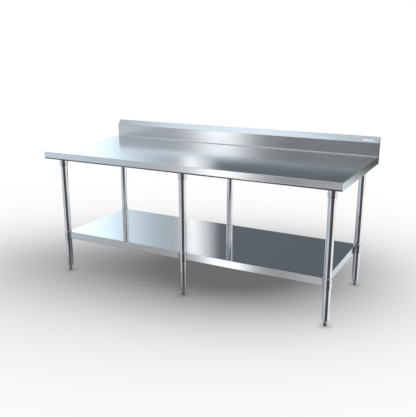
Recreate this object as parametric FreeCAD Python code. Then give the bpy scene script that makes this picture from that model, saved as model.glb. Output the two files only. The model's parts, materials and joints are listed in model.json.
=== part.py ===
import FreeCAD, Part
import math
import os

# Stainless work table with a rear splash, six round legs and a height-adjustable undershelf.
# Units are millimetres. X runs along the table, +Y towards the wall, +Z up.
# The origin is on the floor, under the centre of the table's box.

vec = FreeCAD.Vector

# ---- overall size ----
table_length = 2133.6
table_depth = 914.4
work_height = 914.4

# ---- worktop sheet ----
top_sheet = 1.5
apron_height = 52.0
apron_roll = 12.5        # radius of the rolled lower front edge
front_lip = 26.0         # how far the front edge is turned in
side_lip = 14.0          # how far the end aprons are turned in
top_bend = 3.0           # outside radius of the sharp bends
side_foot_bend = 2.0

# ---- rear splash, folded from the same sheet ----
splash_height = 131.0    # worktop surface to the splash's top
splash_depth = 33.5      # splash face to the wall plane
splash_slope = 42.0      # height from the slope's fold to its sharp peak, before the peak is rounded
splash_return = 25.0     # turned down behind the slope
splash_root_bend = 6.0   # inside radius where the worktop turns up
splash_bend = 1.5        # inside radius of the fold under the slope
peak_bend = 0.5          # inside radius of the fold at the splash's peak
root_flat = 8.0          # flat part of the splash strip in front of its face
cap_return = 12.0        # end cap's inward flanges

# ---- channels under the worktop ----
channel_sheet = 1.5
channel_depth = 30.0
channel_width = 100.0
channel_lip = 15.0
channel_bend = 2.0
channel_front_gap = 3.0  # behind the front lip
channel_rear_gap = 6.0   # in front of the splash strip
channel_end_gap = 2.0    # between a long channel and a cross channel

# ---- studs and nuts that hold the channels ----
stud_radius = 3.0
stud_length = 12.0
stud_hole_clearance = 0.3
nut_across = 10.0
nut_height = 5.0
nut_clearance = 0.05
studs_per_cross_lip = 4
studs_per_long_lip = 3

# ---- legs ----
leg_diameter = 47.6
leg_wall = 1.5
leg_inset_end = 80.7     # table end to the end legs' axes
leg_inset_front = 102.8
leg_inset_rear = 97.8
foot_height = 42.0       # floor to the lower end of a leg tube

# ---- leg sockets ----
socket_wall = 4.4
socket_drop = 79.4       # channel's underside to the socket's lower end
socket_plate = 86.0
socket_plate_sheet = 3.0
socket_chamfer = 3.0
socket_clearance = 0.4   # around the leg
leg_top_gap = 2.0
socket_screw_rise = 22.0 # set screw above the socket's lower end

# ---- set screws ----
screw_radius = 4.0
screw_length = 6.0
screw_key = 4.0          # across the flats of the key recess
screw_key_depth = 3.0
screw_hole_clearance = 0.05

# ---- undershelf ----
shelf_sheet = 1.2
shelf_height = 308.9     # floor to the shelf's upper face
shelf_flange = 50.8
shelf_lip = 12.0
shelf_bend = 2.5
shelf_end_inset = 6.4    # end legs' axes to the shelf's ends
shelf_front_reach = 9.0  # shelf's front face in front of the legs' axes
shelf_rear_inset = 11.6
flange_gap_long = 5.0    # between a collar and the front or rear flange
flange_gap_end = 6.0     # between a collar and an end flange

# ---- shelf collars ----
collar_wall = 3.0
collar_height = 66.5
collar_stand = 1.5       # collar's top above the shelf
collar_chamfer_low = 2.5
collar_chamfer_top = 1.5
collar_clearance = 0.3   # around the leg, so that the shelf slides
collar_screw_rise = 8.0

# ---- channel under the shelf ----
shelf_channel_depth = 25.0
shelf_channel_width = 80.0
shelf_channel_gap = 2.0  # at each end flange

# ---- adjustable feet ----
insert_length = 26.0     # inside the leg
insert_lip = 8.0         # below the leg's end
insert_edge = 1.0        # straight part of the lip, above its taper
insert_tip_radius = 15.0 # lower end of the taper
insert_lip_inset = 0.8
insert_clearance = 0.05
stem_radius = 8.0
stem_clearance = 0.05
stem_rise = 44.0         # stem above the bullet's shoulder
stem_seat = 12.0         # stem inside the bullet
stem_chamfer = 1.0
bullet_gap = 0.3         # shoulder below the insert
hex_across = 25.0
hex_height = 8.0
cone_top_radius = 12.5
cone_low_radius = 7.5
tip_radius = 4.0         # flat that stands on the floor

# ---- blank data plate on the splash slope ----
plate_length = 75.0
plate_width = 28.0
plate_sheet = 0.4
plate_inset = 73.3       # plate's centre to the table's right end

# ---- places worked out from the sizes ----
half_length = table_length / 2
half_depth = table_depth / 2
apron_bottom = work_height - apron_height
sheet_under = work_height - top_sheet
splash_face = half_depth - splash_depth
splash_top = work_height + splash_height
peak_radius = peak_bend + top_sheet
peak_half_angle = math.atan2(splash_depth, splash_slope) / 2
peak = splash_top + peak_radius / math.tan(peak_half_angle) - peak_radius
slope_start = peak - splash_slope
pan_rear = splash_face - root_flat
channel_bottom = sheet_under - channel_depth
cross_start = -half_depth + front_lip + channel_front_gap
cross_end = pan_rear - channel_rear_gap
leg_x = half_length - leg_inset_end
leg_front_y = -half_depth + leg_inset_front
leg_rear_y = half_depth - leg_inset_rear
leg_radius = leg_diameter / 2
leg_inner_radius = leg_radius - leg_wall
socket_radius = leg_radius + socket_clearance + socket_wall
socket_bottom = channel_bottom - socket_drop
leg_top = channel_bottom - socket_plate_sheet - leg_top_gap
shelf_end_x = leg_x - shelf_end_inset
shelf_front_y = leg_front_y - shelf_front_reach
shelf_rear_y = leg_rear_y - shelf_rear_inset
shelf_under = shelf_height - shelf_sheet
shelf_bottom = shelf_height - shelf_flange
collar_top = shelf_height + collar_stand
collar_bottom = collar_top - collar_height
collar_radius = leg_radius + collar_clearance + collar_wall
insert_bottom = foot_height - insert_lip
shoulder = insert_bottom - bullet_gap

leg_columns = {"left": -leg_x, "middle": 0.0, "right": leg_x}
leg_rows = {"front": leg_front_y, "rear": leg_rear_y}
normals = {"yz": vec(1, 0, 0), "xz": vec(0, 1, 0), "xy": vec(0, 0, 1)}


# ---- drawing helpers ----
def unit(vector):
    return vec(vector) * (1.0 / vector.Length)


def on_plane(point, plane, start):
    u, v = point
    if plane == "yz":
        return vec(start, u, v)
    if plane == "xz":
        return vec(u, start, v)
    return vec(u, v, start)


def corner_arc(before, corner, after, radius):
    """Tangent arc of the radius at a corner: its first, middle and last points."""
    into = unit(corner - before)
    out = unit(after - corner)
    half_turn = math.acos(max(-1.0, min(1.0, into.dot(out)))) / 2
    reach = radius * math.tan(half_turn)
    towards_centre = unit(out - into)
    middle = corner + towards_centre * (radius / math.cos(half_turn) - radius)
    return corner - into * reach, middle, corner + out * reach


def path_edges(points, radii, closed):
    """Straight runs through the points, with an arc where a radius is over zero."""
    count = len(points)
    stops = []
    for index, point in enumerate(points):
        at_end = not closed and index in (0, count - 1)
        if at_end or radii[index] <= 0:
            stops.append((point, None, point))
            continue
        stops.append(corner_arc(points[index - 1], point, points[(index + 1) % count], radii[index]))
    edges = []
    for index, (first, middle, last) in enumerate(stops):
        if middle is not None:
            edges.append(Part.Arc(first, middle, last).toShape())
        if closed or index < count - 1:
            start_next = stops[(index + 1) % count][0]
            if last.distanceToPoint(start_next) > 1e-6:
                edges.append(Part.LineSegment(last, start_next).toShape())
    return edges


def rounded_prism(points, radii, plane, start, length):
    """Solid with a rounded polygon as its section."""
    corners = [on_plane(point, plane, start) for point in points]
    face = Part.Face(Part.Wire(path_edges(corners, radii, True)))
    return face.extrude(normals[plane] * length)


def folded_sheet(points, sheet, bend, plane, start, length):
    """Sheet folded along the points, with its thickness on their left. bend: one inside radius per fold."""
    flat = [vec(u, v, 0) for u, v in points]
    runs = [unit(flat[i + 1] - flat[i]) for i in range(len(flat) - 1)]
    lefts = [vec(-run.y, run.x, 0) for run in runs]
    offset = [flat[0] + lefts[0] * sheet]
    near_radii = [0.0]
    far_radii = [0.0]
    for i in range(1, len(flat) - 1):
        mitre = unit(lefts[i - 1] + lefts[i])
        offset.append(flat[i] + mitre * (sheet / mitre.dot(lefts[i])))
        turns_left = runs[i - 1].cross(runs[i]).z > 0
        near_radii.append(bend[i - 1] + (sheet if turns_left else 0.0))
        far_radii.append(bend[i - 1] + (0.0 if turns_left else sheet))
    offset.append(flat[-1] + lefts[-1] * sheet)
    near_radii.append(0.0)
    far_radii.append(0.0)
    outline = [(p.x, p.y) for p in flat] + [(p.x, p.y) for p in reversed(offset)]
    radii = near_radii + list(reversed(far_radii))
    return rounded_prism(outline, radii, plane, start, length)


def block(low, high):
    return Part.makeBox(high[0] - low[0], high[1] - low[1], high[2] - low[2], vec(*low))


def cylinder(radius, x, y, low, high):
    return Part.makeCylinder(radius, high - low, vec(x, y, low))


def hexagon(across, x, y, low, high):
    corner = across / 2 / math.cos(math.pi / 6)
    angles = [math.pi / 3 * step for step in range(6)]
    points = [vec(x + corner * math.cos(a), y + corner * math.sin(a), low) for a in angles]
    return Part.Face(Part.makePolygon(points + [points[0]])).extrude(vec(0, 0, high - low))


def turned(profile, x, y):
    """Solid turned about a vertical axis. profile: (radius, height) points, from the axis outwards."""
    points = [vec(radius, 0, height) for radius, height in profile]
    face = Part.Face(Part.makePolygon(points + [points[0]]))
    solid = face.revolve(vec(0, 0, 0), vec(0, 0, 1), 360)
    solid.translate(vec(x, y, 0))
    return solid


def tray_block(low, high, radii):
    """Block with rounded front, rear, side and upright edges, as the common part of three prisms."""
    x0, y0, z0 = low
    x1, y1, z1 = high
    from_end = rounded_prism([(y0, z0), (y1, z0), (y1, z1), (y0, z1)],
                             [radii["front_low"], radii["rear_low"], radii["rear_top"], radii["front_top"]],
                             "yz", x0, x1 - x0)
    from_front = rounded_prism([(x0, z0), (x1, z0), (x1, z1), (x0, z1)],
                               [radii["side_low"], radii["side_low"], radii["side_top"], radii["side_top"]],
                               "xz", y0, y1 - y0)
    from_above = rounded_prism([(x0, y0), (x1, y0), (x1, y1), (x0, y1)],
                               [radii["front_upright"]] * 2 + [radii["rear_upright"]] * 2,
                               "xy", z0, z1 - z0)
    return from_end.common(from_front).common(from_above)


def thinner(radii, sheet):
    return {name: max(radius - sheet, 0.0) for name, radius in radii.items()}


def solids_only(shape):
    """The shape's solids, refined, as one solid or as a group."""
    solids = shape.removeSplitter().Solids
    return solids[0] if len(solids) == 1 else Part.makeCompound(solids)


# ---- worktop and splash ----
def splash_outline():
    """Front surface of the splash strip, from the worktop to the return behind it."""
    return [(pan_rear, work_height), (splash_face, work_height), (splash_face, slope_start),
            (half_depth, peak), (half_depth, splash_top - splash_return)]


def make_worktop():
    radii = {"front_top": top_bend, "front_low": apron_roll, "rear_top": 0.0, "rear_low": 0.0,
             "side_top": top_bend, "side_low": side_foot_bend, "front_upright": top_bend, "rear_upright": 0.0}
    outer = tray_block((-half_length, -half_depth, apron_bottom), (half_length, pan_rear, work_height), radii)
    inner = tray_block((-half_length + top_sheet, -half_depth + top_sheet, apron_bottom + top_sheet),
                       (half_length - top_sheet, pan_rear + top_sheet, sheet_under), thinner(radii, top_sheet))
    mouth = block((-half_length + side_lip, -half_depth + front_lip, apron_bottom - top_sheet),
                  (half_length - side_lip, pan_rear + top_sheet, apron_bottom + 2 * top_sheet))
    tray = outer.cut(inner).cut(mouth)
    # The strip's thickness lies behind its front surface, so its outline is walked from the wall side.
    strip = folded_sheet(list(reversed(splash_outline())), top_sheet,
                         [peak_bend, splash_bend, splash_root_bend], "yz",
                         -half_length + top_sheet, table_length - 2 * top_sheet)
    return solids_only(tray.fuse(strip))


def make_end_cap(side):
    """Plate that closes the splash's end, turned in along its rear and lower edges."""
    outside = side * half_length
    inside = side * (half_length - top_sheet)
    points = [(pan_rear, apron_bottom), (half_depth, apron_bottom), (half_depth, peak),
              (splash_face, slope_start), (splash_face, work_height), (pan_rear, work_height)]
    radii = [0.0, 0.0, peak_radius, splash_bend + top_sheet, splash_root_bend, 0.0]
    plate = rounded_prism(points, radii, "yz", min(outside, inside), top_sheet)
    reach = side * (half_length - cap_return)
    rear = block((min(inside, reach), half_depth - top_sheet, apron_bottom),
                 (max(inside, reach), half_depth, splash_top - splash_return))
    low = block((min(inside, reach), pan_rear, apron_bottom),
                (max(inside, reach), half_depth, apron_bottom + top_sheet))
    return solids_only(plate.fuse(rear).fuse(low))


# ---- channels, studs and nuts ----
def hat_channel(width, depth, lip, sheet, top, centre, plane, start, length):
    """Channel open upwards, with a lip on each side that meets the sheet above it."""
    half = width / 2
    lip_low = top - sheet
    points = [(centre - half - lip, lip_low), (centre - half, lip_low), (centre - half, top - depth),
              (centre + half, top - depth), (centre + half, lip_low), (centre + half + lip, lip_low)]
    return folded_sheet(points, sheet, [channel_bend] * 4, plane, start, length)


def spread(start, end, count):
    """Evenly spaced places, half a pitch in from both ends."""
    pitch = (end - start) / count
    return [start + pitch * (index + 0.5) for index in range(count)]


def lip_offsets(centre):
    reach = channel_width / 2 + channel_lip / 2
    return [centre - reach, centre + reach]


def cross_stud_places(x):
    return [(lip, y) for lip in lip_offsets(x) for y in spread(cross_start, cross_end, studs_per_cross_lip)]


def long_channel_span(side):
    near = channel_width / 2 + channel_lip + channel_end_gap
    ends = sorted([side * near, side * (leg_x - near)])
    return ends[0], ends[1]


def long_stud_places(side):
    start, end = long_channel_span(side)
    return [(x, lip) for lip in lip_offsets(0.0) for x in spread(start, end, studs_per_long_lip)]


def drilled(channel, places):
    hole = stud_radius + stud_hole_clearance
    for x, y in places:
        channel = channel.cut(cylinder(hole, x, y, sheet_under - 3 * channel_sheet, sheet_under + 1))
    return channel


def make_cross_channel(x):
    channel = hat_channel(channel_width, channel_depth, channel_lip, channel_sheet, sheet_under, x,
                          "xz", cross_start, cross_end - cross_start)
    return solids_only(drilled(channel, cross_stud_places(x)))


def make_long_channel(side):
    start, end = long_channel_span(side)
    channel = hat_channel(channel_width, channel_depth, channel_lip, channel_sheet, sheet_under, 0.0,
                          "yz", start, end - start)
    return solids_only(drilled(channel, long_stud_places(side)))


def all_stud_places():
    places = []
    for x in leg_columns.values():
        places += cross_stud_places(x)
    for side in (-1, 1):
        places += long_stud_places(side)
    return places


def make_studs():
    return Part.makeCompound([cylinder(stud_radius, x, y, sheet_under - stud_length, sheet_under)
                              for x, y in all_stud_places()])


def make_nuts():
    top = sheet_under - channel_sheet
    nuts = []
    for x, y in all_stud_places():
        nut = hexagon(nut_across, x, y, top - nut_height, top)
        nuts.append(nut.cut(cylinder(stud_radius + nut_clearance, x, y, top - nut_height - 1, top + 1)))
    return Part.makeCompound(nuts)


# ---- legs, sockets and set screws ----
def inward(row):
    """Direction along Y from a row of legs to the middle of the table."""
    return 1 if row == "front" else -1


def screw_hole(x, y, z, row, far):
    return Part.makeCylinder(screw_radius + screw_hole_clearance, far, vec(x, y, z), vec(0, inward(row), 0))


def make_screw(x, y, z, row, near):
    """Headless screw along Y, with its tip near the leg and its key recess outwards."""
    screw = Part.makeCylinder(screw_radius, screw_length, vec(0, 0, 0))
    recess = hexagon(screw_key, 0, 0, screw_length - screw_key_depth, screw_length + 1)
    screw = screw.cut(recess)
    screw.rotate(vec(0, 0, 0), vec(1, 0, 0), -90 * inward(row))
    screw.translate(vec(x, y + inward(row) * near, z))
    return screw


def make_leg(x, y):
    tube = cylinder(leg_radius, x, y, foot_height, leg_top)
    return tube.cut(cylinder(leg_inner_radius, x, y, foot_height - 1, leg_top + 1))


def make_socket(x, y, row):
    bore = leg_radius + socket_clearance
    plate_low = channel_bottom - socket_plate_sheet
    sleeve = turned([(bore, socket_bottom), (socket_radius - socket_chamfer, socket_bottom),
                     (socket_radius, socket_bottom + socket_chamfer), (socket_radius, plate_low),
                     (bore, plate_low)], x, y)
    half = socket_plate / 2
    plate = rounded_prism([(x - half, y - half), (x + half, y - half), (x + half, y + half), (x - half, y + half)],
                          [2 * socket_chamfer] * 4, "xy", plate_low, socket_plate_sheet)
    socket = sleeve.fuse(plate)
    return solids_only(socket.cut(screw_hole(x, y, socket_bottom + socket_screw_rise, row, 2 * socket_radius)))


def make_collar(x, y, row):
    bore = leg_radius + collar_clearance
    collar = turned([(bore, collar_bottom), (collar_radius - collar_chamfer_low, collar_bottom),
                     (collar_radius, collar_bottom + collar_chamfer_low),
                     (collar_radius, collar_top - collar_chamfer_top),
                     (collar_radius - collar_chamfer_top, collar_top), (bore, collar_top)], x, y)
    return solids_only(collar.cut(screw_hole(x, y, collar_bottom + collar_screw_rise, row, 2 * collar_radius)))


def screw_group(z, clearance):
    screws = []
    for row, y in leg_rows.items():
        for x in leg_columns.values():
            screws.append(make_screw(x, y, z, row, leg_radius + clearance))
    return Part.makeCompound(screws)


# ---- undershelf ----
def make_undershelf():
    radii = {"front_top": shelf_bend, "front_low": shelf_bend, "rear_top": shelf_bend, "rear_low": shelf_bend,
             "side_top": shelf_bend, "side_low": 0.0, "front_upright": 0.0, "rear_upright": 0.0}
    low = (-shelf_end_x, shelf_front_y, shelf_bottom)
    high = (shelf_end_x, shelf_rear_y, shelf_height)
    outer = tray_block(low, high, radii)
    inner = tray_block((low[0] + shelf_sheet, low[1] + shelf_sheet, low[2] + shelf_sheet),
                       (high[0] - shelf_sheet, high[1] - shelf_sheet, shelf_under), thinner(radii, shelf_sheet))
    mouth = block((low[0] + shelf_sheet, low[1] + shelf_lip, low[2] - shelf_sheet),
                  (high[0] - shelf_sheet, high[1] - shelf_lip, low[2] + 2 * shelf_sheet))
    shelf = outer.cut(inner).cut(mouth)
    below = shelf_bottom - 1
    for row, y in leg_rows.items():
        for x in leg_columns.values():
            shelf = shelf.cut(cylinder(collar_radius, x, y, below, shelf_height + 1))
            along = collar_radius + flange_gap_long
            across = collar_radius + (flange_gap_end if x else flange_gap_long)
            shelf = shelf.cut(block((x - along, y - across, below), (x + along, y + across, shelf_under)))
    return solids_only(shelf)


def make_shelf_channel():
    start = -shelf_end_x + shelf_sheet + shelf_channel_gap
    return solids_only(hat_channel(shelf_channel_width, shelf_channel_depth, channel_lip, shelf_sheet,
                                   shelf_under, 0.0, "yz", start, -2 * start))


# ---- feet ----
def make_insert(x, y):
    lip_radius = leg_radius - insert_lip_inset
    plug_radius = leg_inner_radius - insert_clearance
    bore = stem_radius + stem_clearance
    return turned([(bore, insert_bottom), (insert_tip_radius, insert_bottom),
                   (lip_radius, foot_height - insert_edge), (lip_radius, foot_height), (plug_radius, foot_height),
                   (plug_radius, foot_height + insert_length), (bore, foot_height + insert_length)], x, y)


def make_stem(x, y):
    low = shoulder - stem_seat
    high = shoulder + stem_rise
    return turned([(0, low), (stem_radius, low), (stem_radius, high - stem_chamfer),
                   (stem_radius - stem_chamfer, high), (0, high)], x, y)


def make_bullet(x, y):
    hex_low = shoulder - hex_height
    corners = [vec(0, 0, 0), vec(tip_radius, 0, 0), vec(cone_low_radius, 0, 0),
               vec(cone_top_radius, 0, hex_low), vec(0, 0, hex_low)]
    # The round at the tip runs from the flat on the floor into the cone.
    lean = unit(corners[3] - corners[2])
    round_end = corners[2] + lean * (cone_low_radius - tip_radius)
    round_middle = corner_arc(corners[1], corners[2], corners[3],
                              (cone_low_radius - tip_radius) / math.tan(math.acos(lean.x) / 2))[1]
    edges = [Part.LineSegment(corners[0], corners[1]).toShape(),
             Part.Arc(corners[1], round_middle, round_end).toShape(),
             Part.LineSegment(round_end, corners[3]).toShape(),
             Part.LineSegment(corners[3], corners[4]).toShape(),
             Part.LineSegment(corners[4], corners[0]).toShape()]
    cone = Part.Face(Part.Wire(edges)).revolve(vec(0, 0, 0), vec(0, 0, 1), 360)
    cone.translate(vec(x, y, 0))
    bullet = cone.fuse(hexagon(hex_across, x, y, hex_low, shoulder))
    return solids_only(bullet.cut(cylinder(stem_radius, x, y, shoulder - stem_seat, shoulder + 1)))


# ---- blank data plate ----
def make_plate():
    slope_angle = math.degrees(math.atan2(splash_slope, splash_depth))
    plate = Part.makeBox(plate_length, plate_width, plate_sheet,
                         vec(-plate_length / 2, -plate_width / 2, 0))
    plate.rotate(vec(0, 0, 0), vec(1, 0, 0), slope_angle)
    plate.translate(vec(half_length - plate_inset, (splash_face + half_depth) / 2, (slope_start + peak) / 2))
    return plate


def write(name, shape):
    if not shape.isValid():
        raise RuntimeError(name + " is not a valid shape")
    shape.exportStep("parts/" + name + ".step")
    print(name, len(shape.Solids), round(shape.Volume / 1000, 1), "cm3")


os.makedirs("parts", exist_ok=True)
write("worktop", make_worktop())
write("splash_end_cap_left", make_end_cap(-1))
write("splash_end_cap_right", make_end_cap(1))
write("data_plate", make_plate())
for column, x in leg_columns.items():
    write("cross_channel_" + column, make_cross_channel(x))
write("long_channel_left", make_long_channel(-1))
write("long_channel_right", make_long_channel(1))
write("channel_studs", make_studs())
write("channel_nuts", make_nuts())
for row, y in leg_rows.items():
    for column, x in leg_columns.items():
        place = row + "_" + column
        write("leg_socket_" + place, make_socket(x, y, row))
        write("leg_" + place, make_leg(x, y))
        write("foot_insert_" + place, make_insert(x, y))
        write("foot_stem_" + place, make_stem(x, y))
        write("foot_bullet_" + place, make_bullet(x, y))
        write("shelf_collar_" + place, make_collar(x, y, row))
write("socket_set_screws", screw_group(socket_bottom + socket_screw_rise, 0.0))
write("collar_set_screws", screw_group(collar_bottom + collar_screw_rise, collar_clearance))
write("undershelf", make_undershelf())
write("shelf_channel", make_shelf_channel())
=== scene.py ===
import json
import math
import bpy
import numpy as np
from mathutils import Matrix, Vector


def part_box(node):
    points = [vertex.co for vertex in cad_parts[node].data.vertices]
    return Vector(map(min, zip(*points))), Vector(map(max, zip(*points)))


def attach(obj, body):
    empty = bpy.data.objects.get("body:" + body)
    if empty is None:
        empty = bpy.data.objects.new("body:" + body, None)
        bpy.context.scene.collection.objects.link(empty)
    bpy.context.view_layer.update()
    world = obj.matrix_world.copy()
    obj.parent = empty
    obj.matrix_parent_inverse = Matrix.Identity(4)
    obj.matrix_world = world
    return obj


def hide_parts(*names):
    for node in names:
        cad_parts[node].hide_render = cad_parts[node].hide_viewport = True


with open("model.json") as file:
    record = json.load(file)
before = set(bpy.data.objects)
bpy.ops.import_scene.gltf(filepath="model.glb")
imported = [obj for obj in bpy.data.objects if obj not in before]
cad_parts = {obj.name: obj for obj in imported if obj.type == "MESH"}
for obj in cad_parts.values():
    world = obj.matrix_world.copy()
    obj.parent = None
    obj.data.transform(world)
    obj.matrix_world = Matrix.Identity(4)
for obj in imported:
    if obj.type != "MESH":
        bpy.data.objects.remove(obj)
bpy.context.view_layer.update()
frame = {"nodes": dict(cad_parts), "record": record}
nodes = frame["nodes"]
scene = bpy.context.scene
scene.view_settings.view_transform = "Standard"  # white stays white
print("frame loaded:", len(nodes), "CAD nodes")


# Shader maths: a Wire is one output of a node tree, and arithmetic on it adds Math nodes.
class Wire:
    def __init__(self, graph, socket):
        self.graph = graph
        self.socket = socket

    def math(self, operation, *values):
        inputs = dict(enumerate((self,) + values))
        return self.graph.add("ShaderNodeMath", {"operation": operation}, inputs)

    def __add__(self, other):
        return self.math("ADD", other)

    def __radd__(self, other):
        return self.math("ADD", other)

    def __sub__(self, other):
        return self.math("SUBTRACT", other)

    def __rsub__(self, other):
        return self.graph.add("ShaderNodeMath", {"operation": "SUBTRACT"}, {0: other, 1: self})

    def __mul__(self, other):
        return self.math("MULTIPLY", other)

    def __rmul__(self, other):
        return self.math("MULTIPLY", other)

    def __truediv__(self, other):
        return self.math("DIVIDE", other)

    def __pow__(self, other):
        return self.math("POWER", other)


class Graph:
    def __init__(self, tree):
        self.tree = tree
        tree.nodes.clear()

    # Adds any node: its settings first, then the values or links of its sockets.
    def add(self, kind, settings=None, sockets=None, out=0):
        node = self.tree.nodes.new(kind)
        for name, value in (settings or {}).items():
            if name == "stops":
                setStops(node.color_ramp, value)
            else:
                setattr(node, name, value)
        for name, value in (sockets or {}).items():
            if isinstance(value, Wire):
                self.tree.links.new(value.socket, node.inputs[name])
            else:
                node.inputs[name].default_value = value
        return Wire(self, node.outputs[out]) if node.outputs else None

    def vector(self, operation, first, second):
        return self.add("ShaderNodeVectorMath", {"operation": operation}, {0: first, 1: second})

    def scaled(self, vector, factor):
        return self.add("ShaderNodeVectorMath", {"operation": "SCALE"}, {"Vector": vector, "Scale": factor})

    def colour(self, factor, first, second):
        return self.add("ShaderNodeMix", {"data_type": "RGBA"}, {0: factor, 6: first, 7: second}, out=2)

    # Goes smoothly from 0 to 1 as value goes from start to end.
    def ease(self, value, start, end):
        return self.add("ShaderNodeMapRange", {"interpolation_type": "SMOOTHSTEP"},
                        {"Value": value, "From Min": start, "From Max": end})

    def noise(self, where, scale, detail=2.0, roughness=0.5):
        return self.add("ShaderNodeTexNoise", {}, {"Vector": where, "Scale": scale, "Detail": detail,
                                                   "Roughness": roughness})

    def parts(self, vector):
        node = self.add("ShaderNodeSeparateXYZ", {}, {"Vector": vector}).socket.node
        return [Wire(self, socket) for socket in node.outputs]


# Gives a colour ramp its stops; each is a place from 0 to 1 and a grey or a colour.
def setStops(ramp, stops):
    ramp.elements.remove(ramp.elements[1])
    for index, (place, value) in enumerate(stops):
        stop = ramp.elements[0] if index == 0 else ramp.elements.new(place)
        stop.position = place
        stop.color = tuple(value) + (1.0,) if hasattr(value, "__len__") else (value, value, value, 1.0)


def newMaterial(name):
    material = bpy.data.materials.new(name)
    material.use_nodes = True
    return material, Graph(material.node_tree)


def finishMaterial(graph, sockets):
    shader = graph.add("ShaderNodeBsdfPrincipled", {}, sockets)
    graph.add("ShaderNodeOutputMaterial", {}, {"Surface": shader})


objectCoords, objectNormal = 3, 1               # outputs of the Texture Coordinate node
cameraRay, diffuseRay, glossyRay = 0, 2, 3      # outputs of the Light Path node


# Brushed sheet: the grain runs along X on level faces and on the front and splash, and upright on the ends,
# because the ends are folded down from the same sheet. Fine stretched noise tips the normal across the grain
# only, so that reflections smear across it and stay crisp along it. Broad waves tip it both ways, and streaks,
# smudges and scratches vary its tone and polish.
def brushedSheet(name, look):
    material, graph = newMaterial(name)
    where = graph.add("ShaderNodeTexCoord", out=objectCoords)
    normal = graph.add("ShaderNodeTexCoord", out=objectNormal)
    facing = graph.parts(normal)[0].math("ABSOLUTE")
    onEnd = graph.ease(facing, 0.6, 0.8)
    along, across = look["along"], look["across"]
    stretched = graph.vector("MULTIPLY", where, (along, across, across))
    stretchedEnd = graph.vector("MULTIPLY", where, (across, across, along))
    grainPlace = graph.colour(onEnd, stretched, stretchedEnd)
    grain = graph.noise(grainPlace, 1.0, 3.0, 0.62)
    lengthwise = graph.vector("NORMALIZE", graph.vector("CROSS_PRODUCT", normal, (0.0, 1.0, 0.2)), (0, 0, 0))
    crosswise = graph.vector("CROSS_PRODUCT", normal, lengthwise)
    waveA = graph.noise(where, look["waveScale"], 1.0) - 0.5
    waveB = graph.noise(graph.vector("ADD", where, (3.1, 7.7, 1.3)), look["waveScale"], 1.0) - 0.5
    tip = (grain - 0.5) * look["spread"] + waveA * look["wave"]
    tipped = graph.vector("ADD", graph.scaled(crosswise, tip), graph.scaled(lengthwise, waveB * look["wave"]))
    bent = graph.vector("NORMALIZE", graph.vector("ADD", normal, tipped), (0, 0, 0))
    streaks = graph.noise(graph.vector("MULTIPLY", grainPlace, (0.2, 0.06, 0.06)), 1.0, 2.0)
    smudges = graph.ease(graph.noise(where, look["smudgeScale"], 4.0, 0.6), 0.5, 0.72)
    scratched = graph.noise(graph.vector("MULTIPLY", grainPlace, look["scratchScale"]), 1.0, 2.0, 0.7)
    scratches = graph.ease(scratched, 0.66, 0.74) * look["scratch"]
    tint = graph.colour(graph.ease(streaks, 0.3, 0.7), look["dark"], look["light"])
    tint = graph.colour(smudges * look["smudge"], tint, look["smudgeColour"])
    tint = graph.colour(scratches, tint, look["scratchColour"])
    roughness = look["roughness"] + (streaks - 0.5) * look["roughSpread"] + smudges * look["smudgeRough"]
    roughness = roughness + scratches * look["scratchRough"]
    finishMaterial(graph, {"Base Color": tint, "Metallic": 1.0, "Roughness": roughness, "Normal": bent})
    return material


worktopLook = {"along": 5.0, "across": 900.0, "spread": 0.16, "waveScale": 1.6, "wave": 0.010,
               "dark": (0.630, 0.650, 0.672, 1), "light": (0.652, 0.673, 0.695, 1),
               "roughness": 0.12, "roughSpread": 0.02,
               "smudgeScale": 5.0, "smudge": 0.2, "smudgeColour": (0.615, 0.635, 0.655, 1),
               "smudgeRough": 0.015,
               "scratchScale": (1.4, 0.16, 0.16), "scratch": 0.35,
               "scratchColour": (0.72, 0.73, 0.75, 1), "scratchRough": 0.05}
shelfLook = dict(worktopLook, spread=0.09, roughness=0.08, dark=(0.655, 0.675, 0.700, 1),
                 light=(0.677, 0.699, 0.722, 1))
channelLook = dict(worktopLook, spread=0.2, roughness=0.30, roughSpread=0.1, smudge=0.5,
                   dark=(0.50, 0.52, 0.54, 1), light=(0.58, 0.60, 0.62, 1))


# Polished tube: fine rings round it tip the normal up and down, upright streaks tip it a little sideways,
# patches vary its tone and polish, and scuffs gather on it towards the floor.
def polishedTube(name, look):
    material, graph = newMaterial(name)
    where = graph.add("ShaderNodeTexCoord", out=objectCoords)
    normal = graph.add("ShaderNodeTexCoord", out=objectNormal)
    rings = graph.noise(graph.vector("MULTIPLY", where, (40.0, 40.0, look["rings"])), 1.0, 3.0, 0.6)
    sideways = graph.noise(graph.vector("MULTIPLY", where, (220.0, 220.0, 3.0)), 1.0, 2.0)
    around = graph.vector("CROSS_PRODUCT", normal, (0.0, 0.0, 1.0))
    tipped = graph.vector("ADD", graph.scaled(around, (sideways - 0.5) * look["sideSpread"]),
                          graph.add("ShaderNodeCombineXYZ", {}, {"Z": (rings - 0.5) * look["spread"]}))
    bent = graph.vector("NORMALIZE", graph.vector("ADD", normal, tipped), (0, 0, 0))
    patches = graph.noise(where, look["patchScale"], 3.0, 0.6)
    nearFloor = graph.ease(graph.parts(where)[2], look["scuffTop"], 0.0)
    marks = graph.noise(graph.vector("MULTIPLY", where, look["scuffScale"]), 1.0, 3.0, 0.65)
    scuffs = graph.ease(marks, 0.52, 0.70) * (look["scuffAbove"] + nearFloor * (1 - look["scuffAbove"]))
    tint = graph.colour(graph.ease(patches, 0.3, 0.7), look["dark"], look["light"])
    tint = graph.colour(scuffs * look["scuff"], tint, look["scuffColour"])
    roughness = look["roughness"] + (patches - 0.5) * look["roughSpread"] + scuffs * look["scuffRough"]
    finishMaterial(graph, {"Base Color": tint, "Metallic": 1.0, "Roughness": roughness, "Normal": bent})
    return material


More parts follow.
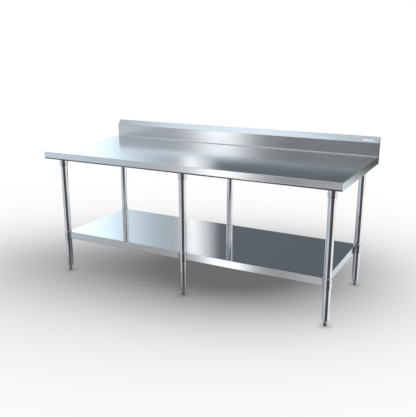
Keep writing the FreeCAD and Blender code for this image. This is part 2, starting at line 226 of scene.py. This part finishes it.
legLook = {"rings": 700.0, "spread": 0.045, "sideSpread": 0.007, "patchScale": 9.0,
           "dark": (0.66, 0.67, 0.69, 1), "light": (0.76, 0.77, 0.79, 1),
           "roughness": 0.09, "roughSpread": 0.05,
           "scuffTop": 0.16, "scuffAbove": 0.1, "scuffScale": (90.0, 90.0, 34.0), "scuff": 0.35,
           "scuffColour": (0.50, 0.50, 0.51, 1), "scuffRough": 0.12}
collarLook = dict(legLook, rings=500.0, spread=0.14, dark=(0.62, 0.63, 0.65, 1), light=(0.70, 0.71, 0.73, 1),
                  roughness=0.14)
footLook = dict(legLook, rings=1200.0, spread=0.16, patchScale=60.0, dark=(0.58, 0.59, 0.61, 1),
                light=(0.68, 0.69, 0.71, 1), roughness=0.18)
fastenerLook = dict(footLook, dark=(0.46, 0.47, 0.48, 1), light=(0.58, 0.59, 0.60, 1), roughness=0.26)
threadLook = dict(footLook, dark=(0.44, 0.44, 0.44, 1), light=(0.58, 0.58, 0.57, 1), roughness=0.24)


# Printed foil: a fine grain in its bump, a slight variation in its tone, and a plain darker block across
# the part of it above blockAbove.
def printedFoil(name, look):
    material, graph = newMaterial(name)
    where = graph.add("ShaderNodeTexCoord", out=objectCoords)
    grain = graph.noise(where, look["grainScale"], 3.0, 0.6)
    patches = graph.noise(where, look["patchScale"], 2.0)
    bump = graph.add("ShaderNodeBump", {}, {"Height": grain, "Strength": look["grain"],
                                            "Distance": look["grainDepth"]})
    tint = graph.colour(graph.ease(patches, 0.3, 0.7), look["dark"], look["light"])
    edge, soft = look["blockAbove"], look["blockSoft"]
    above = graph.ease(graph.parts(where)[2], edge - soft, edge + soft)
    tint = graph.colour(above * look["block"], tint, look["blockColour"])
    roughness = look["roughness"] + (grain - 0.5) * look["roughSpread"]
    finishMaterial(graph, {"Base Color": tint, "Roughness": roughness, "Normal": bump})
    return material


plateMiddle = (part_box("data_plate")[0][2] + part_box("data_plate")[1][2]) / 2
foilLook = {"grainScale": 1500.0, "grain": 0.15, "grainDepth": 0.0002, "patchScale": 40.0,
            "dark": (0.54, 0.55, 0.55, 1), "light": (0.60, 0.60, 0.60, 1),
            "roughness": 0.42, "roughSpread": 0.2,
            "block": 0.85, "blockAbove": plateMiddle - 0.003, "blockSoft": 0.0003,
            "blockColour": (0.27, 0.27, 0.30, 1)}

finishes = {
    "worktop_stainless": brushedSheet("worktopSteel", worktopLook),
    "shelf_stainless": brushedSheet("shelfSteel", shelfLook),
    "channel_steel": brushedSheet("channelSteel", channelLook),
    "leg_tube": polishedTube("legTube", legLook),
    "collar_stainless": polishedTube("collarSteel", collarLook),
    "foot_stainless": polishedTube("footSteel", footLook),
    "fastener_steel": polishedTube("fastenerSteel", fastenerLook),
    "threaded_steel": polishedTube("threadSteel", threadLook),
    "blank_plate": printedFoil("plateFoil", foilLook),
}
for subpart in frame["record"]["subparts"]:
    node = nodes[subpart["node"]]
    node.data.materials.clear()
    node.data.materials.append(finishes[subpart["material_slot"]])
print("finishes given to the CAD nodes")


# Studio: a room that only the metal sees, as rings of light and dark round the horizon under a dome.
# In a ring each stop is a bearing, in degrees clockwise from the wall side, its light and its tint. In the
# dome it is a height above the horizon. "joins" gives the heights between which one ring turns into the next.
fullLight = 2.4
tints = {"plain": (1.0, 1.0, 1.0), "cool": (0.93, 1.0, 1.09), "clear": (0.94, 1.02, 1.03),
         "sky": (0.875, 1.01, 1.10), "dome": (0.915, 1.005, 1.07)}
leftSky = [(-90, 0.66, "cool"), (-62, 1.2, "sky"), (-44, 1.9, "sky"), (-40, 1.5, "sky"), (-38.5, 1.33, "sky"),
           (-36.5, 1.0, "sky"), (-33.6, 0.66, "sky"), (-31.6, 0.50, "sky"), (-30.7, 0.6), (-30, 1.35),
           (-28.5, 1.35), (-27.8, 0.33, "sky"), (-27.1, 0.17, "sky"), (-10, 0.16, "sky")]
studio = {
    "lower": [(-180, 0.10), (-177, 0.50), (-168, 0.66), (-164, 0.66), (-160, 0.42), (-158, 0.40),
              (-156.6, 0.66), (-155.3, 1.9), (-152.8, 1.8), (-151, 0.75), (-149, 0.48), (-145, 0.50),
              (-137, 0.72, "cool"), (-120, 0.64, "cool"), (-90, 0.64, "cool"), (-50, 0.7, "cool"),
              (0, 0.95, "clear"), (20, 1.0, "clear"), (60, 1.15), (98, 1.15), (106, 0.08), (177, 0.08)],
    "upper": [(-180, 0.11), (-172, 0.20), (-165, 0.36), (-160, 0.30), (-157.6, 0.30), (-156.2, 0.64),
              (-154.9, 2.1), (-152.5, 2.4), (-151.3, 1.35), (-150, 0.55), (-145, 0.70, "cool"),
              (-138, 0.90, "cool")] + leftSky + [(8, 0.10), (30, 0.12), (44, 1.3), (98, 1.1), (106, 0.09)],
    "high": [(-180, 0.60), (-100, 0.66)] + leftSky + [(4, 0.45), (24, 0.95), (98, 1.1), (130, 0.75),
                                                      (180, 0.60)],
    "dome": [(0, 0.55), (46, 0.45), (48.5, 0.62), (52, 1.02), (56, 1.22), (60, 1.32), (62, 1.18),
             (64.5, 0.75), (75, 0.5), (90, 0.45)],
    "ground": 0.07,
    "fill": 0.4,
    "joins": {"upper": (-13.5, -10.7), "high": (11.5, 15.5), "dome": (26.0, 40.0), "ground": (-26.0, -32.0)},
}


# Stops of a colour ramp from stops of light: place turns an angle into a place on the ramp.
def lightStops(stops, place, tint):
    spread = []
    for angle, light, *named in stops:
        colour = tints[named[0] if named else tint]
        spread.append((place(angle), [light * part / fullLight for part in colour]))
    return spread


# The camera sees plain white, rough surfaces see the plain fill, and all other rays see the room.
def makeStudio():
    world = bpy.data.worlds.new("studio")
    scene.world = world
    world.use_nodes = True
    graph = Graph(world.node_tree)
    x, y, z = graph.parts(graph.add("ShaderNodeTexCoord"))
    bearing = x.math("ARCTAN2", y) / (2 * math.pi) + 0.5
    height = z.math("ARCSINE") * (180 / math.pi)
    views = {}
    for band in ("upper", "lower", "high"):
        stops = lightStops(studio[band], lambda angle: angle / 360 + 0.5, "plain")
        views[band] = graph.add("ShaderNodeValToRGB", {"stops": stops}, {"Fac": bearing})
    stops = lightStops(studio["dome"], lambda angle: angle / 90, "dome")
    views["dome"] = graph.add("ShaderNodeValToRGB", {"stops": stops}, {"Fac": height / 90})
    views["ground"] = (studio["ground"] / fullLight,) * 3 + (1,)
    light = views["lower"]
    for band, (start, end) in studio["joins"].items():
        light = graph.colour(graph.ease(height, start, end), light, views[band])
    seen = graph.add("ShaderNodeBackground", {}, {"Color": (1, 1, 1, 1), "Strength": 1.0})
    mirrored = graph.add("ShaderNodeBackground", {}, {"Color": light, "Strength": fullLight})
    fill = graph.add("ShaderNodeBackground", {}, {"Color": (1, 1, 1, 1), "Strength": studio["fill"]})
    fromCamera = graph.add("ShaderNodeLightPath", out=cameraRay)
    isDiffuse = graph.add("ShaderNodeLightPath", out=diffuseRay)
    unseen = graph.add("ShaderNodeMixShader", {}, {0: isDiffuse, 1: mirrored, 2: fill})
    surface = graph.add("ShaderNodeMixShader", {}, {0: fromCamera, 1: unseen, 2: seen})
    graph.add("ShaderNodeOutputWorld", {}, {"Surface": surface})


# Mesh from grids of points. Each grid is (points, closed along rows, closed along columns, fill the first
# row, fill the last row): a face joins each point to its neighbours in the next row and column.
def gridMesh(name, grids):
    allPoints, allFaces, start = [], [], 0
    for points, closedRows, closedColumns, *filled in grids:
        rows, columns = points.shape[:2]
        index = np.arange(rows * columns).reshape(rows, columns) + start
        below = np.roll(index, -1, 0) if closedRows else index[1:]
        here = index if closedRows else index[:-1]
        if closedColumns:
            quads = np.stack([here, np.roll(here, -1, 1), np.roll(below, -1, 1), below], -1)
        else:
            quads = np.stack([here[:, :-1], here[:, 1:], below[:, 1:], below[:, :-1]], -1)
        allFaces += quads.reshape(-1, 4).tolist()
        for fill, row in zip(filled, (index[0][::-1], index[-1])):
            if fill:
                allFaces.append(row.tolist())
        allPoints.append(points.reshape(-1, 3))
        start += rows * columns
    mesh = bpy.data.meshes.new(name)
    mesh.from_pydata(np.concatenate(allPoints).tolist(), [], allFaces)
    mesh.update()
    return mesh


def middleOf(node, axis):
    low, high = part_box(node)
    return (low[axis] + high[axis]) / 2


# Places of the legs, from the tubes' boxes.
legPlaces = {"left": middleOf("leg_front_left", 0), "middle": 0.0, "right": middleOf("leg_front_right", 0),
             "front": middleOf("leg_front_left", 1), "rear": middleOf("leg_rear_left", 1)}
legSpots = [(row + "_" + column, legPlaces[column], legPlaces[row])
            for row in ("front", "rear") for column in ("left", "middle", "right")]


sharpAngle = math.radians(28)   # a bend over this is an edge


# Makes one piece from grids, smooth but for its edges, riding on a CAD body in place of the CAD nodes named.
def addPiece(name, grids, body, slotName, *replaced):
    mesh = gridMesh(name, grids)
    mesh.polygons.foreach_set("use_smooth", np.ones(len(mesh.polygons), dtype=bool))
    mesh.set_sharp_from_angle(angle=sharpAngle)
    mesh.materials.append(finishes[slotName])
    piece = bpy.data.objects.new(name, mesh)
    scene.collection.objects.link(piece)
    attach(piece, body)
    if replaced:
        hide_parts(*replaced)
    return piece


# A profile of (radius, height, cut) rows turned about an upright axis at (x, y). Where cut is 1 the radius is
# the lesser of the profile's and the hexagon's at that angle, so that a cone trims the hexagon's corners.
def turnedGrid(profile, x, y, columns, across=0.0):
    profile = np.array(profile)
    turn = np.linspace(0, 2 * np.pi, columns, endpoint=False)
    radius = np.repeat(profile[:, :1], columns, 1)
    if across:
        side = across / 2 / np.cos(turn % (np.pi / 3) - np.pi / 6)
        radius = np.where(profile[:, 2:] > 0, np.minimum(radius, side), radius)
    height = np.repeat(profile[:, 1:2], columns, 1)
    return np.stack([x + radius * np.cos(turn), y + radius * np.sin(turn), height], -1)


# Rows of a hexagon from low to high: a 30 degree cone widens to its corners, and another narrows above them.
def hexRows(look, low, high, steps):
    corner = look["across"] / 2 / math.cos(math.pi / 6)
    trim = np.linspace(look["chamferTo"], corner, steps)
    rise = (trim - trim[0]) * math.tan(math.radians(30))
    rows = list(zip(trim, low + rise)) + list(zip(trim[::-1], high - rise[::-1]))
    return [(radius, height, 1.0) for radius, height in rows]


# Screw thread: the radius dips between crests, the crests climb one pitch a turn, and both ends are bevelled.
def threadGrid(x, y, low, high, look):
    rows = round((high - low) / look["pitch"] * look["rowsPerTurn"]) + 1
    height, turn = np.meshgrid(np.linspace(low, high, rows),
                               np.linspace(0, 2 * np.pi, look["columns"], endpoint=False), indexing="ij")
    phase = (height / look["pitch"] - turn / (2 * np.pi)) % 1
    ridge = np.clip(np.abs(phase * 2 - 1) * 1.35 - 0.15, 0, 1)   # flattened crests and roots
    fromEnd = np.minimum(height - low, high - height)
    bevelled = look["radius"] - look["bevel"] + fromEnd
    radius = np.minimum(look["radius"] - look["depth"] * (1 - ridge), bevelled)
    return np.stack([x + radius * np.cos(turn), y + radius * np.sin(turn), height], -1)


stemLook = {"radius": 0.008, "pitch": 0.002, "depth": 0.0011, "bevel": 0.0012,
            "rowsPerTurn": 8, "columns": 24}


# Threaded stems of the feet, each between the ends of its plain CAD stem.
def makeStems():
    for place, x, y in legSpots:
        low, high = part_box("foot_stem_" + place)
        grid = threadGrid(x, y, low[2], high[2], stemLook)
        addPiece("footThread_" + place, [(grid, False, True, True, True)], "foot_" + place, "threaded_steel",
                 "foot_stem_" + place)


bulletLook = {"across": 0.025, "hexHeight": 0.008, "chamferTo": 0.0121, "tipFlat": 0.004, "round": 0.0035,
              "coneLow": 0.0075, "coneTop": 0.0125, "groove": 0.0006, "bore": 0.008, "boreDepth": 0.012,
              "boreEdge": 0.0008}


# Bullet foot: a round tip, a cone and a groove turned below a hexagon whose corners are trimmed at both ends.
def bulletProfile(top):
    look = bulletLook
    hexLow = top - look["hexHeight"]
    slope = (look["coneTop"] - look["coneLow"]) / hexLow
    t = np.linspace(0, 1, 9)[:, None]
    start, bend = np.array([[look["tipFlat"], 0.0]]), np.array([[look["coneLow"], 0.0]])
    end = bend + np.array([[slope, 1.0]]) * look["round"]
    # One curve from the flat into the cone.
    tip = start * (1 - t) ** 2 + bend * 2 * t * (1 - t) + end * t ** 2
    neck = look["groove"]
    coneEnd = hexLow - 3 * neck
    cone = [(look["coneLow"] + slope * z, z) for z in np.linspace(end[0, 1], coneEnd, 6)[1:]]
    grooved = look["coneTop"] - 2 * neck
    groove = [(grooved, coneEnd + neck / 2), (grooved, hexLow - neck / 2), (grooved + neck, hexLow)]
    bore, edge = look["bore"], look["boreEdge"]
    inside = [(bore + edge, top), (bore, top - edge), (bore, top - look["boreDepth"])]
    below = [(radius, height, 0.0) for radius, height in tip.tolist() + cone + groove]
    return below + hexRows(look, hexLow, top, 5) + [(radius, height, 0.0) for radius, height in inside]


def makeBullets():
    for place, x, y in legSpots:
        low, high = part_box("foot_bullet_" + place)
        grid = turnedGrid(bulletProfile(high[2]), x, y, 48, bulletLook["across"])
        addPiece("footBullet_" + place, [(grid, False, True, True, True)], "foot_" + place, "foot_stainless",
                 "foot_bullet_" + place)


studLook = {"radius": 0.003, "pitch": 0.001, "depth": 0.00055, "bevel": 0.0006, "rowsPerTurn": 6,
            "columns": 14, "length": 0.012, "beside": 0.0575, "onCross": 4, "onLong": 3,
            "across": 0.010, "chamferTo": 0.0047, "nutBore": 0.00305, "nutEdge": 0.0004}


# Places of the weld studs: evenly along both lips of each cross channel and of each long one.
def studPlaces():
    look = studLook
    places = []
    for column in ("left", "middle", "right"):
        low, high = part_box("cross_channel_" + column)
        for part in (np.arange(look["onCross"]) + 0.5) / look["onCross"]:
            for side in (-1, 1):
                places.append((legPlaces[column] + side * look["beside"], low[1] + (high[1] - low[1]) * part))
    for side in ("left", "right"):
        low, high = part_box("long_channel_" + side)
        for part in (np.arange(look["onLong"]) + 0.5) / look["onLong"]:
            for edge in (-1, 1):
                places.append((low[0] + (high[0] - low[0]) * part, edge * look["beside"]))
    return places


# Weld studs, threaded to their tops' level, and a nut on each; a nut's profile runs round its whole section.
def makeStuds():
    look = studLook
    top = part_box("channel_studs")[1][2]
    nutLow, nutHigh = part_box("channel_nuts")[0][2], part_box("channel_nuts")[1][2]
    bore, edge = look["nutBore"], look["nutEdge"]
    nut = [(bore, nutHigh - edge, 0.0), (bore, nutLow + edge, 0.0), (bore + edge, nutLow, 0.0)]
    nut += hexRows(look, nutLow, nutHigh, 3) + [(bore + edge, nutHigh, 0.0)]
    studs, nuts = [], []
    for x, y in studPlaces():
        studs.append((threadGrid(x, y, top - look["length"], top, look), False, True, True, True))
        nuts.append((turnedGrid(nut, x, y, 24, look["across"]), True, True))
    addPiece("weldStuds", studs, "table", "fastener_steel", "channel_studs")
    addPiece("studNuts", nuts, "table", "fastener_steel", "channel_nuts")


# Outline of a rounded rectangle about (0, 0), each point at its corner's centre plus the corner's radius less
# the inset.
def roundedOutline(halfLength, halfWidth, corner, inset=0.0, steps=7):
    turn = (np.linspace(0, np.pi / 2, steps)[None] + np.arange(4)[:, None] * np.pi / 2).ravel()
    signs = np.repeat([[1, 1], [-1, 1], [-1, -1], [1, -1]], steps, 0)
    middles = signs * [halfLength - corner, halfWidth - corner]
    return middles + (corner - inset) * np.stack([np.cos(turn), np.sin(turn)], -1)


# The slope rises 42 mm over 33.5 mm. Each row is an inset and a height, in sheets above the plate's middle.
plateLook = {"width": 0.028, "sheet": 0.0004, "corner": 0.003, "lean": math.atan2(42.0, 33.5),
             "rows": [(0.0003, -0.5), (0.0, -0.3), (0.0, 0.3), (0.0002, 0.5), (0.0009, 0.5), (0.0011, 0.2)]}


# Blank plate on the splash's slope: rounded outlines stacked up through its sheet, with a rim raised round
# its edge.
def makePlate():
    look = plateLook
    low, high = np.array(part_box("data_plate")[0]), np.array(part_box("data_plate")[1])
    middle, halfLength = (low + high) / 2, (high[0] - low[0]) / 2
    layers = []
    for inset, height in look["rows"]:
        outline = roundedOutline(halfLength, look["width"] / 2, look["corner"], inset)
        layers.append(np.column_stack([outline, np.full(len(outline), height * look["sheet"])]))
    flat = np.stack(layers)
    lean = look["lean"]
    turned = np.stack([flat[..., 0], flat[..., 1] * math.cos(lean) - flat[..., 2] * math.sin(lean),
                       flat[..., 1] * math.sin(lean) + flat[..., 2] * math.cos(lean)], -1)
    addPiece("dataPlate", [(turned + middle, False, True, True, True)], "table", "blank_plate", "data_plate")


# Weld bead: a round section carried along a path, whose radius swells and thins with every drop, and which
# tapers at its ends when the path is open.
def beadGrid(path, radius, dropLength, closed):
    ahead = np.roll(path, -1, 0) - np.roll(path, 1, 0) if closed else np.gradient(path, axis=0)
    ahead /= np.linalg.norm(ahead, axis=1, keepdims=True)
    side = np.cross(ahead, [0.0, 0.0, 1.0])
    lift = np.cross(ahead, side)
    steps = np.linalg.norm(np.diff(path, axis=0), axis=1)
    along = np.concatenate([[0.0], np.cumsum(steps)])
    total = along[-1] + (np.linalg.norm(path[0] - path[-1]) if closed else 0.0)
    drops = max(round(total / dropLength), 1)
    swell = 1 + 0.16 * np.cos(2 * np.pi * drops * along / total)
    if not closed:
        swell = swell * np.clip(np.minimum(along, total - along) / radius, 0.25, 1)
    turn = np.linspace(0, 2 * np.pi, 10, endpoint=False)
    ring = side[:, None] * np.cos(turn)[None, :, None] + lift[:, None] * np.sin(turn)[None, :, None]
    points = path[:, None] + ring * (radius * swell)[:, None, None]
    return (points, closed, True) if closed else (points, False, True, True, True)


# Radius of each kind of bead, and the share of it that its middle lies under the face it is laid on.
beads = {"socket": (0.0022, 0.3), "plate": (0.0018, 0.6), "collar": (0.0020, 0.3), "stitch": (0.0016, 0.4)}
weldLook = {"drop": 0.0024, "socket": 0.0286, "socketPlate": 0.003, "plateHalf": 0.043, "plateCorner": 0.006,
            "plateSteps": 380, "shelfSheet": 0.0012, "edge": 0.003, "lip": 0.0551, "stitch": 0.030,
            "stitchSteps": 50, "stitchSpacing": 0.28, "stitches": 7}


# Arc about (x, y) at a height, from one bearing to another in degrees.
def arcPath(x, y, height, radius, start, end, steps):
    turn = np.radians(np.linspace(start, end, steps))
    return np.column_stack([x + radius * np.cos(turn), y + radius * np.sin(turn), np.full(steps, height)])


# Welds under the worktop: a ring where each socket meets its plate, and one round the plate's edge.
def makeTableWelds():
    look = weldLook
    (socketBead, socketSink), (plateBead, plateSink) = beads["socket"], beads["plate"]
    outline = roundedOutline(look["plateHalf"], look["plateHalf"], look["plateCorner"], steps=9)
    outline = np.concatenate([outline, outline[:1]])
    spaced = np.concatenate([[0.0], np.cumsum(np.linalg.norm(np.diff(outline, axis=0), axis=1))])
    wanted = np.linspace(0, spaced[-1], look["plateSteps"], endpoint=False)
    edgeX, edgeY = np.interp(wanted, spaced, outline[:, 0]), np.interp(wanted, spaced, outline[:, 1])
    grids = []
    for place, x, y in legSpots:
        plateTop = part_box("leg_socket_" + place)[1][2]
        under = plateTop - look["socketPlate"] - socketBead * socketSink
        ring = arcPath(x, y, under, look["socket"], 0, 357, 120)
        grids.append(beadGrid(ring, socketBead, look["drop"], True))
        level = np.full(look["plateSteps"], plateTop - plateBead * plateSink)
        grids.append(beadGrid(np.column_stack([edgeX + x, edgeY + y, level]), plateBead, look["drop"], True))
    addPiece("tableWelds", grids, "table", "collar_stainless")


# Welds of the undershelf: an arc under the sheet round each collar, as far as the sheet reaches round it, and
# stitches along the channel's lips.
def makeShelfWelds():
    look = weldLook
    (collarBead, collarSink), (stitchBead, stitchSink) = beads["collar"], beads["stitch"]
    low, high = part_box("undershelf")
    under = high[2] - look["shelfSheet"]
    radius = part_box("shelf_collar_front_middle")[1][0]
    turn = np.radians(np.linspace(0, 360, 361))
    grids = []
    for place, x, y in legSpots:
        edgeX, edgeY = x + radius * np.cos(turn), y + radius * np.sin(turn)
        covered = np.abs(edgeX) < high[0] - look["edge"]
        covered &= (edgeY > low[1] + look["edge"]) & (edgeY < high[1] - look["edge"])
        first = int(np.argmax(covered & ~np.roll(covered, 1)))
        last = first + int(covered.sum()) - 1
        arc = arcPath(x, y, under - collarBead * collarSink, radius, first, last, 90)
        grids.append(beadGrid(arc, collarBead, look["drop"], False))
    steps = look["stitchSteps"]
    for number in range(look["stitches"]):
        middle = (number - (look["stitches"] - 1) / 2) * look["stitchSpacing"]
        for side in (-1, 1):
            along = np.linspace(-look["stitch"] / 2, look["stitch"] / 2, steps) + middle
            stitch = np.column_stack([along, np.full(steps, side * look["lip"]),
                                      np.full(steps, under - stitchBead * stitchSink)])
            grids.append(beadGrid(stitch, stitchBead, look["drop"], False))
    addPiece("shelfWelds", grids, "shelf", "collar_stainless")


# The pools and foot spots are painted shadow in the floor's colour; mirrorDark is painted shade that the metal
# sees in its reflections.
floorLook = {"radius": 14.0, "spokes": 96, "rings": 40, "shade": 0.12, "darkest": 0.17, "mirrorDark": 0.15,
             "mirrorTint": (0.95, 0.98, 1.0, 1), "mirrorEase": (0.2, 0.9),
             "contact": 0.42, "contactReach": 0.034,
             "shadowPools": [{"centre": (0.183, 0.280), "turn": 32.7, "along": 2.454, "across": 2.062,
                        "falloff": 5.62, "depth": 0.93},
                       {"centre": (-1.16, -0.23), "turn": 32.7, "along": 1.60, "across": 1.50,
                        "falloff": 3.0, "depth": 0.40}],
             "mirrored": {"centre": (-0.172, 0.141), "turn": 20.2, "along": 3.404, "across": 2.198,
                          "falloff": 5.62, "depth": 1.0}}


# Soft oval pool of painted shadow on the floor: its depth over a power of one plus the squared distance, which
# is measured in its reaches.
def paintedShadowPool(graph, where, look):
    placed = graph.add("ShaderNodeMapping", {"vector_type": "TEXTURE"},
                       {"Vector": where, "Location": look["centre"] + (0.0,),
                        "Rotation": (0, 0, math.radians(look["turn"]))})
    x, y, z = graph.parts(placed)
    spreadOut = (x / look["along"]) ** 2 + (y / look["across"]) ** 2
    return (spreadOut + 1.0) ** -look["falloff"] * look["depth"]


# One round spot of painted contact shadow under each foot. Folded about the middle, all six feet share one
# place, so one spot serves them all.
def footContactShadows(graph, where, look):
    floorX, floorY, floorZ = graph.parts(where)
    halfColumn = legPlaces["right"] / 2
    rowMiddle = (legPlaces["rear"] + legPlaces["front"]) / 2
    rowHalf = (legPlaces["rear"] - legPlaces["front"]) / 2
    aside = floorX.math("ABSOLUTE").math("SUBTRACT", halfColumn).math("ABSOLUTE") - halfColumn
    forward = (floorY - rowMiddle).math("ABSOLUTE") - rowHalf
    away = (aside * aside + forward * forward) / (-look["contactReach"] ** 2)
    return away.math("EXPONENT") * look["contact"]


# Floor: a round sheet of rings and spokes; pale, with soft darker pools of painted shadow under and beside the
# table and a small spot of painted contact shadow under each foot. The metal sees one dark pool of painted
# shade, and through the rest of it to the studio.
def makeFloor():
    look = floorLook
    turn, reach = np.meshgrid(np.linspace(2 * np.pi, 0, look["spokes"], endpoint=False),
                              np.linspace(0.02, 1, look["rings"]) ** 2)
    points = np.stack([reach * np.cos(turn), reach * np.sin(turn), np.zeros_like(turn)], -1) * look["radius"]
    mesh = gridMesh("floor", [(points, False, True, True)])
    floor = bpy.data.objects.new("floor", mesh)
    scene.collection.objects.link(floor)
    material, graph = newMaterial("paleFloor")
    where = graph.add("ShaderNodeTexCoord", out=objectCoords)
    deep, wide = [paintedShadowPool(graph, where, pool) for pool in look["shadowPools"]]
    mirroredShadePool = paintedShadowPool(graph, where, look["mirrored"])
    # Painted shadow: the floor's colour darkens in both pools and in a spot under each foot.
    tone = (1 - deep - wide).math("SMOOTH_MAX", look["darkest"], 0.1) * (1 - footContactShadows(graph, where, look))
    paint = graph.add("ShaderNodeCombineXYZ", {}, {"X": tone, "Y": tone, "Z": tone})
    glow = graph.add("ShaderNodeEmission", {}, {"Color": paint, "Strength": 1.0})
    matt = graph.add("ShaderNodeBsdfDiffuse", {}, {"Color": paint})
    shaded = graph.ease(deep, 0.0, 0.25) * look["shade"]
    seen = graph.add("ShaderNodeMixShader", {}, {0: shaded, 1: glow, 2: matt})
    # Painted shade for reflections: over the mirrored pool the metal sees a dim glow in place of the floor's
    # shadow, and it sees the studio through the rest.
    dark = graph.add("ShaderNodeEmission", {}, {"Color": look["mirrorTint"], "Strength": look["mirrorDark"]})
    through = graph.add("ShaderNodeBsdfTransparent")
    start, end = look["mirrorEase"]
    pooled = graph.ease(mirroredShadePool, start, end)
    mirrored = graph.add("ShaderNodeMixShader", {}, {0: pooled, 1: through, 2: dark})
    isGlossy = graph.add("ShaderNodeLightPath", out=glossyRay)
    surface = graph.add("ShaderNodeMixShader", {}, {0: isGlossy, 1: seen, 2: mirrored})
    graph.add("ShaderNodeOutputMaterial", {}, {"Surface": surface})
    mesh.materials.append(material)


lampLook = {"size": (5.0, 4.0), "energy": 230, "location": (0.0, -0.4, 4.2)}


def makeLights():
    data = bpy.data.lights.new("overhead", "AREA")
    data.shape = "RECTANGLE"
    data.size, data.size_y = lampLook["size"]
    data.energy = lampLook["energy"]
    light = bpy.data.objects.new("overhead", data)
    light.location = lampLook["location"]
    light.visible_glossy = False
    scene.collection.objects.link(light)


# Degrees below level, degrees turned to the left of the wall, and the lens in mm.
cameraPlace = {"location": (1.8433, -3.4851, 1.6151), "down": 15.497, "turn": 27.864, "lens": 49.79}


def makeCamera():
    data = bpy.data.cameras.new("camera")
    data.lens = cameraPlace["lens"]
    data.sensor_width = 36.0
    data.clip_end = 100.0
    camera = bpy.data.objects.new("camera", data)
    camera.location = cameraPlace["location"]
    camera.rotation_euler = (math.radians(90 - cameraPlace["down"]), 0.0, math.radians(cameraPlace["turn"]))
    scene.collection.objects.link(camera)
    scene.camera = camera


makeStems()
makeBullets()
makeStuds()
makePlate()
makeTableWelds()
makeShelfWelds()
print("threads, feet, studs, nuts, plate and welds made")
makeStudio()
makeFloor()
makeLights()
makeCamera()
print("studio, floor, light and camera made")
